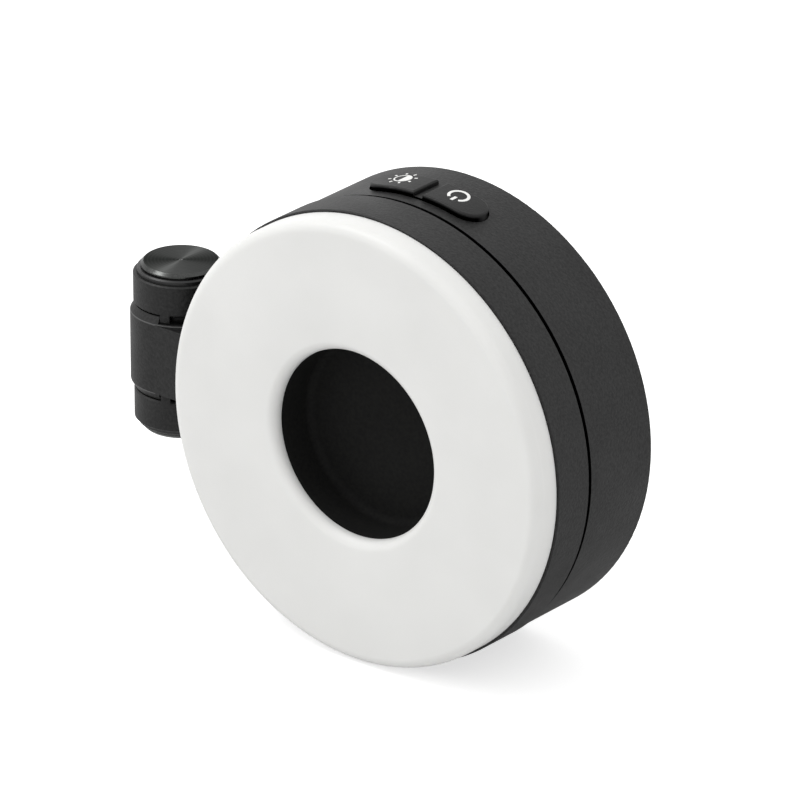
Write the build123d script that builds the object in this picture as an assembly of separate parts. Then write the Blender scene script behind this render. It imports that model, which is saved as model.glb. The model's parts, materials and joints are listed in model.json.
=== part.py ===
from build123d import *
import math
import os

# Clip-on ring light. Millimetres, +Z up, the light shines towards -Y and the hinge is at -X.
# The origin is the centre of the rear grip pad's face, where a phone or tablet is clamped.

# Housing
shell_radius = 33.0
front_shell_step = 0.2
shell_wall = 1.8
front_shell_depth = 7.25
rear_shell_depth = 14.0
back_plate_thickness = 2.0
back_edge_radius = 0.5
shell_edge_break = 0.15
seam_groove_width = 0.45
seam_groove_depth = 0.7
spigot_wall = 1.0
spigot_length = 0.9
seat_clearance = 0.1
bulkhead_front_offset = 5.0
bulkhead_thickness = 1.2

# Diffuser and centre cup
diffuser_proud = 4.4
diffuser_wall = 1.8
diffuser_edge_inset = 0.35
diffuser_outer_round = 2.4
diffuser_inner_round = 1.5
diffuser_skirt_length = 2.0
diffuser_skirt_wall = 1.6
diffuser_collar_wall = 1.3
recess_radius = 14.0
recess_floor_offset = 3.5
cup_wall = 1.5
cup_rim_offset = 2.7
cup_collar_drop = 1.7
cup_edge_round = 0.4

# Light engine
led_count = 24
led_circle_radius = 23.4
led_length = 3.5
led_width = 2.8
led_height = 0.7
led_board_thickness = 1.0
reflector_wall = 0.8
reflector_clearance = 0.3
led_window_margin = 0.4

# Hinge
sleeve_stand_off = 1.87
hinge_behind_rim = 9.0
sleeve_radius = 7.33
sleeve_half_height = 6.4
sleeve_chamfer_radial = 0.7
sleeve_chamfer_axial = 1.1
sleeve_edge_round = 0.5
web_thickness = 1.85
web_half_height = 5.3
web_pocket_depth = 1.2
web_pocket_clearance = 0.05
knuckle_radius = 6.85
knuckle_gap = 0.2
knuckle_height = 4.6
knuckle_edge_break = 0.2
stop_tab_start_angle = -76.0
stop_tab_sweep = 12.0
stop_tab_height = 1.0
stop_track_radius = 5.4
stop_track_clearance = 0.15
stop_track_margin = 1.0
opening_angle = 75.0
pin_radius = 1.5
pin_running_clearance = 0.03
bush_wall = 1.1
bush_length = 2.8
bush_press_clearance = 0.02
spring_wire_radius = 0.35
spring_coil_radius = 2.75
spring_turns = 4
spring_pitch = 1.0
spring_cavity_radius = 3.5
spring_leg_reach = 4.6
spring_leg_clearance = 0.05
collar_radius = 6.3
collar_height = 0.7
collar_chamfer = 0.2
cap_neck_radius = 5.4
cap_neck_height = 0.4
cap_rim_radius = 5.75
cap_rim_height = 0.4
cap_chamfer = 0.25
cap_socket_depth = 1.4
cap_spigot_radius = 3.4
cap_socket_gap = 0.1
pin_end_depth = 0.3
pin_slot_floor = 0.7

# Clip arm and grip pads
rear_pad_proud = 0.6
pad_gap = 0.3
arm_pad_proud = 1.0
pad_sink = 0.8
rear_pad_length = 28.0
rear_pad_height = 16.0
arm_pad_length = 26.0
arm_pad_height = 14.0
pad_corner_radius = 3.0
pad_groove_count = 5
pad_groove_width = 0.8
pad_groove_depth = 0.35
pad_fit_clearance = 0.05
arm_thickness = 2.4
arm_tip_x = 20.0
arm_root_half_height = 9.9
arm_tip_half_height = 8.2
arm_tip_corner_radius = 5.0
arm_lead_in = 1.1
arm_lead_in_length = 4.0
arm_edge_chamfer = 0.4
arm_grip_grooves = 4
arm_grip_pitch = 1.6
arm_grip_width = 0.7
arm_grip_depth = 0.35
arm_grip_from_tip = 2.6
riser_near = 2.6
riser_thickness = 3.0
riser_clearance = 0.3
riser_root_depth = 0.3
riser_bend_radius = 2.4
riser_inner_radius = 1.5

# Keys
keypad_length = 19.5
keypad_width = 5.6
keypad_behind_rim = 12.3
keypad_offset_x = 0.35
key_proud = 0.9
key_valley = 1.6
key_valley_offset_x = 0.25
key_clearance = 0.12
key_edge_round = 0.3
key_flange = 0.8
key_flange_depth = 1.6
key_travel = 0.5
key_stem_radius = 1.2
key_stem_length = 0.5
key_rest_gap = 0.15
divider_clearance = 0.15
divider_proud = 0.25
switch_side = 4.5
switch_height = 1.9
switch_spacing = 10.8
switch_well_radius = 1.15
switch_well_floor = 0.4
plunger_radius = 1.0
plunger_length = 1.5
plunger_end_gap = 0.1
button_board_thickness = 1.0
button_board_length = 22.0
button_board_width = 6.4
board_hanger_thickness = 1.5

# Power
battery_length = 30.0
battery_height = 25.0
battery_thickness = 4.2
battery_corner_radius = 1.0
battery_centre_z = 4.5
battery_pad_thickness = 0.3
main_board_width = 22.0
main_board_height = 18.5
main_board_thickness = 1.0
main_board_behind_rim = 10.65
board_edge_inset = 3.0
standoff_radius = 1.8
standoff_spacing = 16.0
lead_radius = 0.5
lead_spacing = 4.0
lead_drop = 4.0
lead_bend_radius = 1.2
header_length = 5.0
header_width = 2.5
header_below_top = 10.5
ribbon_width = 4.0
ribbon_thickness = 0.3
ribbon_overlap = 4.0
chip_side = 5.0
chip_height = 1.0
port_width = 9.0
port_thickness = 3.2
port_length = 7.3
port_shell_wall = 0.3
port_tongue_width = 6.6
port_tongue_thickness = 0.7
port_tongue_length = 5.0
port_set_back = 0.3
port_clearance = 0.15

# Case screws
screw_circle_radius = 26.0
screw_shank_radius = 0.95
screw_fit_clearance = 0.02
screw_head_radius = 1.9
screw_head_height = 1.2
screw_head_sink = 0.4
screw_tip_gap = 0.4
screw_cross_width = 0.5
screw_cross_depth = 0.6
boss_radius = 2.8
post_length = 3.0

# Stations along Y
jaw_y = 0.0
back_y = jaw_y - rear_pad_proud
back_inner_y = back_y - back_plate_thickness
seam_y = back_y - rear_shell_depth
rim_y = seam_y - front_shell_depth
face_y = rim_y - diffuser_proud
cup_rim_y = rim_y - cup_rim_offset
floor_y = rim_y + recess_floor_offset
bulkhead_front_y = rim_y + bulkhead_front_offset
bulkhead_back_y = bulkhead_front_y + bulkhead_thickness
led_board_front_y = bulkhead_front_y - led_board_thickness
hinge_x = -(shell_radius + sleeve_radius + sleeve_stand_off)
hinge_y = rim_y + hinge_behind_rim
web_front_y = hinge_y - sleeve_radius
keypad_y = rim_y + keypad_behind_rim
arm_inner_y = jaw_y + pad_gap + arm_pad_proud
arm_outer_y = arm_inner_y + arm_thickness

# Radii and heights that follow
front_radius = shell_radius + front_shell_step
shell_bore = shell_radius - shell_wall
front_bore = front_radius - shell_wall
cup_radius = recess_radius + cup_wall
knuckle_start = sleeve_half_height + knuckle_gap
knuckle_end = knuckle_start + knuckle_height
collar_end = knuckle_end + collar_height
cap_neck_end = collar_end + cap_neck_height
cap_end = cap_neck_end + cap_rim_height
pin_end = cap_neck_end - pin_end_depth
bush_radius = pin_radius + pin_running_clearance + bush_wall
key_top_radius = shell_radius + key_proud
flange_top_radius = shell_bore - key_rest_gap
flange_bottom_z = flange_top_radius - key_flange_depth - key_flange
plunger_top_z = flange_bottom_z - key_stem_length
switch_floor_z = plunger_top_z - plunger_length - key_travel - plunger_end_gap
switch_top_z = switch_floor_z + switch_height - switch_well_floor
board_top_z = switch_top_z - switch_height
riser_near_x = hinge_x + riser_near
riser_far_x = riser_near_x + riser_thickness


def block(x0, x1, y0, y1, z0, z1):
    size = (x1 - x0, y1 - y0, z1 - z0)
    centre = ((x0 + x1) / 2, (y0 + y1) / 2, (z0 + z1) / 2)
    return Pos(*centre) * Box(*size)


def rod_y(radius, y0, y1, x=0.0, z=0.0):
    return Pos(x, (y0 + y1) / 2, z) * Rot(90, 0, 0) * Cylinder(radius, y1 - y0)


def rod_z(radius, z0, z1, x=0.0, y=0.0):
    return Pos(x, y, (z0 + z1) / 2) * Cylinder(radius, z1 - z0)


def turned_y(points, rounds=()):
    """A ring about the Y axis from (radius, y) corners, with (corner number, radius) rounds."""
    outline = make_face(Polyline(*points, close=True))
    for number, radius in rounds:
        x, y = points[number]
        nearest = outline.vertices().sort_by_distance((x, y, 0))[0]
        outline = fillet(nearest, radius)
    return revolve(outline, Axis.Y, 360)


def turned_z(points, rounds=()):
    """A ring about the Z axis from (radius, z) corners, with (corner number, radius) rounds."""
    corners = [(radius, 0, z) for radius, z in points]
    outline = make_face(Polyline(*corners, close=True))
    for number, radius in rounds:
        nearest = outline.vertices().sort_by_distance(corners[number])[0]
        outline = fillet(nearest, radius)
    return revolve(outline, Axis.Z, 360)


def sector_z(radius, start, sweep, z0, z1):
    """A pie slice about the Z axis, from the start angle through the sweep, in degrees."""
    corners = [(0, 0)]
    steps = max(2, math.ceil(sweep / 60) + 1)
    for step in range(steps):
        angle = math.radians(start + sweep * step / (steps - 1))
        corners.append((2 * radius * math.cos(angle), 2 * radius * math.sin(angle)))
    slice_face = make_face(Polyline(*corners, close=True))
    wedge = Pos(0, 0, z0) * extrude(slice_face, z1 - z0)
    return wedge & rod_z(radius, z0, z1)


def at_hinge(shape):
    return Pos(hinge_x, hinge_y, 0) * shape


def mirrored(shape):
    return mirror(shape, Plane.XY)


def rounded_plate(length, height, corner, y0, y1, x=0.0, z=0.0):
    outline = RectangleRounded(length, height, corner)
    plate = extrude(Plane.XZ * outline, y1 - y0, dir=(0, 1, 0))
    return Pos(x, y0, z) * plate


def screw_places():
    places = []
    for quarter in range(4):
        angle = math.radians(45 + 90 * quarter)
        places.append((screw_circle_radius * math.cos(angle), screw_circle_radius * math.sin(angle)))
    return places


def keypad_outline(extra, z0, z1):
    outline = SlotOverall(keypad_length + 2 * extra, keypad_width + 2 * extra)
    return Pos(keypad_offset_x, keypad_y, z0) * extrude(outline, z1 - z0)


def web_pocket(grow):
    return block(
        hinge_x, -front_radius + web_pocket_depth + grow,
        web_front_y - grow, web_front_y + web_thickness + grow,
        -web_half_height - grow, web_half_height + grow,
    )


# Housing

def make_front_shell():
    outer, bore = front_radius, front_bore
    groove_y = seam_y - seam_groove_width
    step = outer - seam_groove_depth
    wall = turned_y(
        [
            (bore, rim_y), (outer - shell_edge_break, rim_y), (outer, rim_y + shell_edge_break),
            (outer, groove_y - shell_edge_break), (outer - shell_edge_break, groove_y),
            (step, groove_y), (step, seam_y), (bore, seam_y),
        ]
    )
    bulkhead = rod_y(bore + seat_clearance, bulkhead_front_y, bulkhead_back_y)
    shell = wall + bulkhead
    post_end = bulkhead_back_y + post_length
    for x, z in screw_places():
        shell += rod_y(boss_radius, bulkhead_back_y, post_end, x, z)
    for side in (-1, 1):
        x = side * standoff_spacing / 2
        shell += rod_y(standoff_radius, bulkhead_back_y, main_board_front_y(), x, main_board_top_z() - 4)
    shell -= web_pocket(web_pocket_clearance)
    shell -= header_bar(seat_clearance)
    hole = screw_shank_radius + screw_fit_clearance
    for x, z in screw_places():
        shell -= rod_y(hole, bulkhead_front_y + screw_tip_gap, post_end, x, z)
    return shell


def make_rear_shell():
    bore = shell_bore
    lip_outer = front_bore - seat_clearance
    lip_inner = lip_outer - spigot_wall
    spigot_y = seam_y - spigot_length
    shell = turned_y(
        [
            (0, back_inner_y), (bore, back_inner_y), (bore, seam_y + spigot_wall),
            (lip_inner, seam_y), (lip_inner, spigot_y), (lip_outer, spigot_y),
            (lip_outer, seam_y), (shell_radius - shell_edge_break, seam_y),
            (shell_radius, seam_y + shell_edge_break), (shell_radius, back_y), (0, back_y),
        ],
        [(9, back_edge_radius)],
    )
    post_end = bulkhead_back_y + post_length
    for x, z in screw_places():
        shell += rod_y(boss_radius, post_end, back_inner_y, x, z)
    shell += make_board_hangers()
    for x, z in screw_places():
        shell -= rod_y(screw_shank_radius + seat_clearance, post_end, back_y, x, z)
        sink_y = back_y - screw_head_sink - screw_head_height
        shell -= rod_y(screw_head_radius + seat_clearance, sink_y, back_y, x, z)
    shell -= keypad_outline(key_clearance, 0.8 * shell_bore, key_top_radius)
    shell -= port_slot()
    shell -= rounded_plate(
        rear_pad_length + 2 * pad_fit_clearance, rear_pad_height + 2 * pad_fit_clearance,
        pad_corner_radius, back_y - pad_sink, back_y,
    )
    return shell


def make_board_hangers():
    """Two walls under the shell's crown that hold the ends of the key board."""
    hangers = Part()
    bottom = board_top_z - button_board_thickness
    for side in (-1, 1):
        inner = keypad_offset_x + side * button_board_length / 2
        outer = inner + side * board_hanger_thickness
        wall = block(
            min(inner, outer), max(inner, outer),
            keypad_y - button_board_width / 2, keypad_y + button_board_width / 2,
            bottom, shell_radius,
        )
        hangers += wall & rod_y(shell_bore + seat_clearance, seam_y, back_y)
    return hangers


def make_rear_pad():
    base = back_y - pad_sink
    pad = rounded_plate(rear_pad_length, rear_pad_height, pad_corner_radius, base, jaw_y)
    return grooved(pad, rear_pad_height, rear_pad_length, jaw_y - pad_groove_depth, jaw_y)


def grooved(pad, height, length, y0, y1):
    """Cuts evenly spaced grip grooves along X into a pad's face."""
    pitch = height / (pad_groove_count + 1)
    for number in range(pad_groove_count):
        z = -height / 2 + pitch * (number + 1)
        pad -= block(
            -length / 2, length / 2, y0, y1, z - pad_groove_width / 2, z + pad_groove_width / 2
        )
    return pad


# Light side

def make_diffuser():
    outer = front_radius - diffuser_edge_inset
    wall = diffuser_wall
    skirt = front_bore - seat_clearance
    collar = cup_radius + seat_clearance
    collar_outer = collar + diffuser_collar_wall
    inside_y = face_y + wall
    return turned_y(
        [
            (recess_radius, cup_rim_y), (recess_radius, face_y), (outer, face_y), (outer, rim_y),
            (skirt, rim_y), (skirt, rim_y + diffuser_skirt_length),
            (skirt - diffuser_skirt_wall, rim_y + diffuser_skirt_length),
            (skirt - diffuser_skirt_wall, inside_y), (collar_outer, inside_y),
            (collar_outer, cup_rim_y + cup_collar_drop), (collar, cup_rim_y + cup_collar_drop),
            (collar, cup_rim_y),
        ],
        [(1, diffuser_inner_round), (2, diffuser_outer_round)],
    )


def make_centre_cup():
    return turned_y(
        [
            (0, floor_y), (recess_radius, floor_y), (recess_radius, cup_rim_y), (cup_radius, cup_rim_y),
            (cup_radius, bulkhead_front_y), (0, bulkhead_front_y),
        ],
        [(1, cup_edge_round)],
    )


def led_places():
    return [(360 / led_count) * number for number in range(led_count)]


def ring_block(angle, radial, tangential, y0, y1):
    piece = block(
        led_circle_radius - radial / 2, led_circle_radius + radial / 2,
        y0, y1, -tangential / 2, tangential / 2,
    )
    return Rot(0, angle, 0) * piece


def make_led_board():
    inner = cup_radius + reflector_clearance
    outer = front_bore - reflector_clearance
    return turned_y(
        [
            (inner, led_board_front_y), (outer, led_board_front_y),
            (outer, bulkhead_front_y), (inner, bulkhead_front_y),
        ]
    )


def make_led_chips():
    chips = []
    front = led_board_front_y - led_height
    for angle in led_places():
        chips.append(ring_block(angle, led_width, led_length, front, led_board_front_y))
    return Compound(children=chips)


def make_reflector():
    """White trough behind the diffuser, with a window for each light-emitting chip."""
    inner = cup_radius + reflector_clearance
    outer = front_bore - reflector_clearance
    base = led_board_front_y
    top_inner = cup_rim_y + cup_collar_drop + reflector_clearance
    top_outer = rim_y + diffuser_skirt_length + reflector_clearance
    floor = base - reflector_wall
    trough = turned_y(
        [
            (inner, base), (inner, top_inner), (inner + reflector_wall, top_inner),
            (inner + reflector_wall, floor), (outer - reflector_wall, floor),
            (outer - reflector_wall, top_outer), (outer, top_outer), (outer, base),
        ]
    )
    margin = 2 * led_window_margin
    for angle in led_places():
        trough -= ring_block(angle, led_width + margin, led_length + margin, floor, base)
    return trough


# Hinge

def make_hinge_sleeve():
    half = sleeve_half_height
    outer = sleeve_radius
    seat = bush_radius + bush_press_clearance
    inner_z = half - bush_length
    sleeve = turned_z(
        [
            (seat, -half), (outer - sleeve_chamfer_radial, -half), (outer, -half + sleeve_chamfer_axial),
            (outer, half - sleeve_chamfer_axial), (outer - sleeve_chamfer_radial, half), (seat, half),
            (seat, inner_z), (spring_cavity_radius, inner_z),
            (spring_cavity_radius, -inner_z), (seat, -inner_z),
        ],
        [(2, sleeve_edge_round), (3, sleeve_edge_round)],
    )
    track = make_stop_track()
    sleeve -= track
    sleeve -= mirrored(track)
    sleeve = at_hinge(sleeve)
    web = web_pocket(0) - at_hinge(rod_z(sleeve_radius - seat_clearance, -half, half))
    sleeve += web
    return sleeve - at_hinge(spring_leg_slot())


def make_stop_track():
    """The step in the sleeve's end that the arm's stop tab runs along, from closed to fully open."""
    top = sleeve_half_height + knuckle_gap
    bottom = knuckle_start - stop_tab_height - stop_track_clearance
    sweep = stop_tab_sweep + opening_angle + 2 * stop_track_margin
    track = sector_z(sleeve_radius + 1, stop_tab_start_angle - stop_track_margin, sweep, bottom, top)
    return track - rod_z(stop_track_radius, bottom, top)


def make_stop_tab():
    """The tab on a barrel's inner end; it reaches down into the sleeve's track."""
    low = knuckle_start - stop_tab_height
    high = knuckle_start + knuckle_edge_break
    tab = sector_z(knuckle_radius, stop_tab_start_angle, stop_tab_sweep, low, high)
    return tab - rod_z(stop_track_radius + stop_track_clearance, low, high)


def spring_leg_slot():
    """A notch in the sleeve's cavity wall for the spring's fixed leg."""
    z = -spring_turns * spring_pitch / 2
    half = spring_wire_radius + spring_leg_clearance
    reach = spring_leg_reach + spring_leg_clearance
    return block(-reach, -spring_cavity_radius + half, -half, half, z - half, z + half)


def make_torsion_spring():
    height = spring_turns * spring_pitch
    path = Helix(spring_pitch, height, spring_coil_radius)
    profile = Plane(origin=path @ 0, z_dir=path % 0) * RegularPolygon(spring_wire_radius, 8)
    coil = Pos(0, 0, -height / 2) * sweep(profile, path)
    fixed_leg = spring_leg(spring_coil_radius, spring_leg_reach, -height / 2)
    moving_leg = spring_leg(pin_slot_floor, spring_coil_radius, height / 2)
    return at_hinge(Rot(0, 0, 180) * (coil + fixed_leg + moving_leg))


def spring_leg(start, end, z):
    return Pos((start + end) / 2, 0, z) * Rot(0, 90, 0) * Cylinder(spring_wire_radius, end - start)


def make_bushes():
    inner = pin_radius + pin_running_clearance
    half = sleeve_half_height
    bush = turned_z(
        [(inner, half - bush_length), (bush_radius, half - bush_length), (bush_radius, half), (inner, half)]
    )
    return Compound(children=[at_hinge(bush), at_hinge(mirrored(bush))])


def make_hinge_pin():
    """The pin turns with the arm, so the spring's moving leg sits in a slot across it."""
    pin = rod_z(pin_radius, -pin_end, pin_end)
    half = spring_wire_radius + spring_leg_clearance
    z = spring_turns * spring_pitch / 2
    pin -= block(-pin_radius, -pin_slot_floor + spring_leg_clearance, -half, half, z - half, z + half)
    return at_hinge(pin)


def make_upper_knuckle():
    """One of the arm's two barrels, with the stop tab on its inner end."""
    bore = pin_radius + bush_press_clearance
    break_edge = knuckle_edge_break
    barrel = turned_z(
        [
            (bore, knuckle_start), (knuckle_radius - break_edge, knuckle_start),
            (knuckle_radius, knuckle_start + break_edge), (knuckle_radius, knuckle_end - break_edge),
            (knuckle_radius - break_edge, knuckle_end), (cap_spigot_radius + seat_clearance, knuckle_end),
            (cap_spigot_radius + seat_clearance, knuckle_end - cap_socket_depth),
            (bore, knuckle_end - cap_socket_depth),
        ]
    )
    return barrel + make_stop_tab()


def make_collar():
    chamfer = collar_chamfer
    inner = cap_spigot_radius + seat_clearance
    ring = turned_z(
        [
            (inner, knuckle_end), (collar_radius, knuckle_end), (collar_radius, collar_end - chamfer),
            (collar_radius - chamfer, collar_end), (inner, collar_end),
        ]
    )
    return at_hinge(ring)


def make_cap():
    """Spun metal end cap: a spigot through the collar, a dark neck and a bright-edged rim."""
    hole = pin_radius + bush_press_clearance
    spigot_start = knuckle_end - cap_socket_depth + cap_socket_gap
    cap = turned_z(
        [
            (hole, spigot_start), (cap_spigot_radius, spigot_start), (cap_spigot_radius, collar_end),
            (cap_neck_radius, collar_end), (cap_neck_radius, cap_neck_end),
            (cap_rim_radius, cap_neck_end),
            (cap_rim_radius, cap_end - cap_chamfer), (cap_rim_radius - cap_chamfer, cap_end),
            (0, cap_end), (0, pin_end), (hole, pin_end),
        ]
    )
    return at_hinge(cap)


# Clip arm

def make_arm_plate():
    """The blade behind the housing, tapering in height towards its rounded free end."""
    root, tip = arm_root_half_height, arm_tip_half_height
    outline = make_face(
        Polyline((riser_near_x, -root), (arm_tip_x, -tip), (arm_tip_x, tip), (riser_near_x, root), close=True)
    )
    ends = outline.vertices().sort_by(Axis.X)[-2:]
    outline = fillet(ends, arm_tip_corner_radius)
    plate = extrude(Plane.XZ * outline, arm_thickness, dir=(0, 1, 0))
    plate = Pos(0, arm_inner_y, 0) * plate
    ramp = make_face(
        Polyline(
            (arm_tip_x - arm_lead_in_length, arm_inner_y), (arm_tip_x + 1, arm_inner_y - 0.1),
            (arm_tip_x + 1, arm_inner_y + arm_lead_in * (1 + 1 / arm_lead_in_length)), close=True,
        )
    )
    ramp = extrude(ramp, 2 * root, both=True)
    return plate - ramp


def make_riser():
    """The bracket from the two barrels back to the blade, forked around the sleeve."""
    top = arm_root_half_height
    sleeve_room = sleeve_radius + riser_clearance
    bridge = block(riser_near_x, riser_far_x, hinge_y + sleeve_room, arm_outer_y, -top, top)
    riser = bridge
    for side in (-1, 1):
        low = min(side * knuckle_start, side * top)
        high = max(side * knuckle_start, side * top)
        leg = block(riser_near_x, riser_far_x, hinge_y, hinge_y + sleeve_room, low, high)
        riser += leg - at_hinge(rod_z(knuckle_radius - riser_root_depth, low, high))
    return riser


def make_finger_grooves():
    """Shallow grooves across the blade's free end, where a finger pulls it open."""
    grooves = Part()
    reach = arm_tip_half_height - arm_tip_corner_radius / 2
    for number in range(arm_grip_grooves):
        x = arm_tip_x - arm_grip_from_tip - number * arm_grip_pitch
        grooves += block(
            x - arm_grip_width / 2, x + arm_grip_width / 2,
            arm_outer_y - arm_grip_depth, arm_outer_y + 1, -reach, reach,
        )
    return grooves


def make_clip_arm():
    knuckle = make_upper_knuckle()
    arm = make_arm_plate() + make_riser()
    bends = arm.edges().filter_by(Axis.Z).filter_by_position(Axis.X, riser_near_x - 1, riser_far_x + 1)
    outer_bend = bends.sort_by_distance((riser_near_x, arm_outer_y, 0))[0]
    arm = fillet(outer_bend, riser_bend_radius)
    bends = arm.edges().filter_by(Axis.Z).filter_by_position(Axis.X, riser_near_x - 1, riser_far_x + 1)
    inner_bend = bends.sort_by_distance((riser_far_x, arm_inner_y, 0))[0]
    arm = fillet(inner_bend, riser_inner_radius)
    back_rim = arm.faces().sort_by(Axis.Y)[-1].outer_wire().edges()
    arm = chamfer(back_rim, arm_edge_chamfer)
    arm -= make_finger_grooves()
    arm += at_hinge(knuckle)
    arm += at_hinge(mirrored(knuckle))
    arm -= rounded_plate(
        arm_pad_length + 2 * pad_fit_clearance, arm_pad_height + 2 * pad_fit_clearance,
        pad_corner_radius, arm_inner_y, arm_inner_y + pad_sink,
    )
    return arm


def make_arm_pad():
    face = arm_inner_y - arm_pad_proud
    pad = rounded_plate(arm_pad_length, arm_pad_height, pad_corner_radius, face, arm_inner_y + pad_sink)
    return grooved(pad, arm_pad_height, arm_pad_length, face, face + pad_groove_depth)


# Keys

def make_key(side):
    """One key of the pair; side -1 is brightness and side +1 is power."""
    middle = keypad_offset_x + key_valley_offset_x
    near = key_valley / 2
    top = keypad_outline(0, flange_bottom_z + key_flange, key_top_radius + 1)
    top &= rod_y(key_top_radius, seam_y, back_y)
    flange = keypad_outline(key_flange, flange_bottom_z, shell_radius)
    flange &= rod_y(flange_top_radius, seam_y + spigot_wall + key_clearance, back_inner_y - key_clearance)
    key = top + flange
    far = keypad_length
    if side > 0:
        key &= block(middle + near, middle + far, seam_y, back_y, 0, 2 * shell_radius)
    else:
        key &= block(middle - far, middle - near, seam_y, back_y, 0, 2 * shell_radius)
    stem_x = keypad_offset_x + side * switch_spacing / 2
    key += rod_z(key_stem_radius, plunger_top_z, flange_bottom_z, stem_x, keypad_y)
    crown = [edge for edge in key.edges() if on_key_top(edge)]
    return fillet(crown, key_edge_round)


def on_key_top(edge):
    middle = edge @ 0.5
    return abs(math.hypot(middle.X, middle.Z) - key_top_radius) < key_edge_round / 10


def make_plunger(side):
    x = keypad_offset_x + side * switch_spacing / 2
    return rod_z(plunger_radius, plunger_top_z - plunger_length, plunger_top_z, x, keypad_y)


def make_tact_switches():
    switches = []
    half = switch_side / 2
    for side in (-1, 1):
        x = keypad_offset_x + side * switch_spacing / 2
        body = block(x - half, x + half, keypad_y - half, keypad_y + half, board_top_z, switch_top_z)
        body -= rod_z(switch_well_radius, board_top_z + switch_well_floor, switch_top_z, x, keypad_y)
        switches.append(body)
    return Compound(children=switches)


def make_button_board():
    left = keypad_offset_x - button_board_length / 2
    right = keypad_offset_x + button_board_length / 2
    width = button_board_width / 2
    bottom = board_top_z - button_board_thickness
    return block(left, right, keypad_y - width, keypad_y + width, bottom, board_top_z)


def make_key_divider():
    """Low rubber rib that closes the valley between the keys."""
    half = key_valley / 2 - divider_clearance
    middle = keypad_offset_x + key_valley_offset_x
    width = keypad_width / 2
    top = shell_radius + divider_proud
    rib = block(middle - half, middle + half, keypad_y - width, keypad_y + width, board_top_z, top)
    return rib & rod_y(top, seam_y, back_y)


# Power

def main_board_front_y():
    return rim_y + main_board_behind_rim


def main_board_bottom_z():
    return -shell_bore + board_edge_inset


def main_board_top_z():
    return main_board_bottom_z() + main_board_height


def port_centre_y():
    return main_board_front_y() + main_board_thickness + port_thickness / 2


def port_mouth_z():
    return -shell_radius + port_set_back


def port_bar(grow, z0, z1):
    outline = SlotOverall(port_width + 2 * grow, port_thickness + 2 * grow)
    return Pos(0, port_centre_y(), z0) * extrude(outline, z1 - z0)


def port_slot():
    return port_bar(port_clearance, -shell_radius - 1, -shell_bore + board_edge_inset)


def make_charge_port():
    mouth = port_mouth_z()
    end = mouth + port_length
    wall = port_shell_wall
    port = port_bar(0, mouth, end) - port_bar(-wall, mouth, end - wall)
    tongue_y = port_centre_y()
    tongue = block(
        -port_tongue_width / 2, port_tongue_width / 2,
        tongue_y - port_tongue_thickness / 2, tongue_y + port_tongue_thickness / 2,
        end - wall - port_tongue_length, end - wall,
    )
    return port + tongue


def make_main_board():
    front = main_board_front_y()
    half = main_board_width / 2
    back = front + main_board_thickness
    return block(-half, half, front, back, main_board_bottom_z(), main_board_top_z())


def make_driver_chips():
    back = main_board_front_y() + main_board_thickness
    z = main_board_top_z() - chip_side
    half = chip_side / 2
    chips = []
    for side in (-1, 1):
        x = side * main_board_width / 4
        chips.append(block(x - half, x + half, back, back + chip_height, z - half, z + half))
    return Compound(children=chips)


def make_battery():
    end = back_inner_y - battery_pad_thickness
    start = end - battery_thickness
    return rounded_plate(
        battery_length, battery_height, battery_corner_radius, start, end, 0, battery_centre_z
    )


def make_battery_pad():
    start = back_inner_y - battery_pad_thickness
    return rounded_plate(
        0.8 * battery_length, 0.8 * battery_height, battery_corner_radius,
        start, back_inner_y, 0, battery_centre_z,
    )


def make_battery_leads():
    """The battery's two wires, from its lower edge to the main board."""
    start_y = back_inner_y - battery_pad_thickness - battery_thickness / 2
    board_y = main_board_front_y() + main_board_thickness
    top_z = battery_centre_z - battery_height / 2
    leads = []
    for side in (-1, 1):
        x = side * lead_spacing / 2
        path = FilletPolyline(
            (x, start_y, top_z), (x, start_y, top_z - lead_drop), (x, board_y, top_z - lead_drop),
            radius=lead_bend_radius,
        )
        profile = Plane(origin=path @ 0, z_dir=path % 0) * Circle(lead_radius)
        leads.append(sweep(profile, path))
    return Compound(children=leads)


def make_board_header():
    """The pin header that carries the lamp current from the main board to the ring board."""
    return header_bar(0)


def header_bar(grow):
    z = main_board_top_z() - header_below_top
    return block(
        -header_length / 2 - grow, header_length / 2 + grow, bulkhead_front_y, main_board_front_y(),
        z - header_width / 2 - grow, z + header_width / 2 + grow,
    )


def make_key_ribbon():
    """The flat ribbon from the key board down to the main board's front."""
    front = main_board_front_y()
    top = board_top_z - button_board_thickness
    bottom = main_board_top_z() - ribbon_overlap
    half = ribbon_width / 2
    return block(-half, half, front - ribbon_thickness, front, bottom, top)


def make_case_screws():
    screws = []
    head_top = back_y - screw_head_sink
    head_bottom = head_top - screw_head_height
    tip = bulkhead_front_y + 2 * screw_tip_gap
    for x, z in screw_places():
        screw = rod_y(screw_head_radius, head_bottom, head_top, x, z)
        screw += rod_y(screw_shank_radius, tip, head_bottom, x, z)
        arm = 1.3 * screw_head_radius / 2
        half = screw_cross_width / 2
        cut_y = head_top - screw_cross_depth
        screw -= block(x - arm, x + arm, cut_y, head_top, z - half, z + half)
        screw -= block(x - half, x + half, cut_y, head_top, z - arm, z + arm)
        screws.append(screw)
    return Compound(children=screws)


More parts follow.
